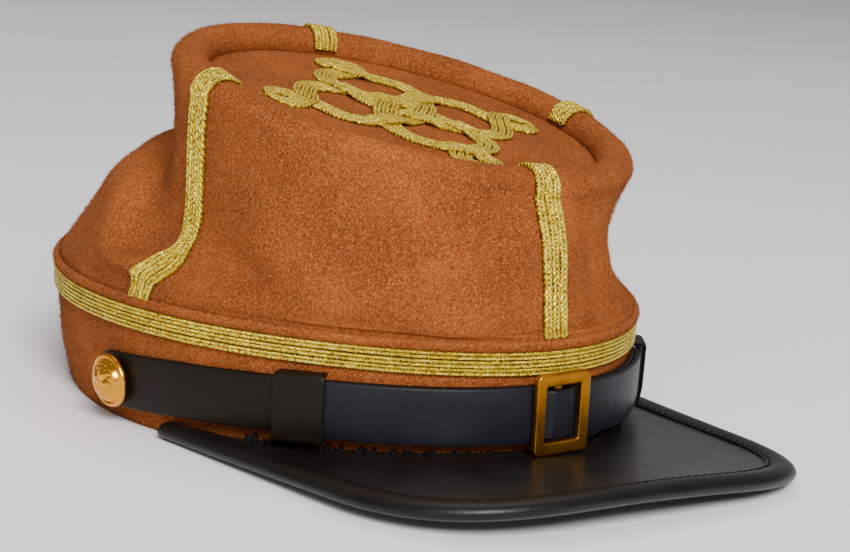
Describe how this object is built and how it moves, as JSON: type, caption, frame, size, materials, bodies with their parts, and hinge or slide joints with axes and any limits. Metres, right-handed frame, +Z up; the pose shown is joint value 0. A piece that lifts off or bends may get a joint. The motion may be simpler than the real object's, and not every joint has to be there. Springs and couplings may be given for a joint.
{
  "type": "kepi cap",
  "caption": "Soft round-topped military cap with a forward-leaning crown, flat leather peak, gold braid and a buckled chin strap.",
  "frame": {"origin": "middle of the bounding box in plan, on the surface that the cap rests on", "axes": "+Z up through the crown, -Y to the front of the cap, +X to the wearer's left"},
  "size_m": [0.1818, 0.2612, 0.1133],
  "materials": {
    "wool": "fuzzy rust-brown wool broadcloth",
    "gold_braid": "metallic gold soutache braid",
    "leather": "smooth black leather, semi-gloss",
    "brass": "satin to bright brass"
  },
  "bodies": {
    "root": {"band": "wool", "seam_piping": "wool", "crown_side": "wool", "crown_tip": "wool", "crown_knot": "gold_braid", "band_braid_1": "gold_braid", "front_braid_1": "gold_braid", "back_braid_1": "gold_braid", "left_braid_1": "gold_braid", "right_braid_1": "gold_braid", "band_braid_2": "gold_braid", "front_braid_2": "gold_braid", "back_braid_2": "gold_braid", "left_braid_2": "gold_braid", "right_braid_2": "gold_braid", "band_braid_3": "gold_braid", "front_braid_3": "gold_braid", "back_braid_3": "gold_braid", "left_braid_3": "gold_braid", "right_braid_3": "gold_braid", "visor": "leather", "visor_binding": "leather", "chin_strap_inner": "leather", "chin_strap_outer": "leather", "strap_keeper_right": "leather", "strap_keeper_left": "leather", "buckle": "brass", "button_right": "brass", "button_left": "brass"}
  },
  "joints": []
}
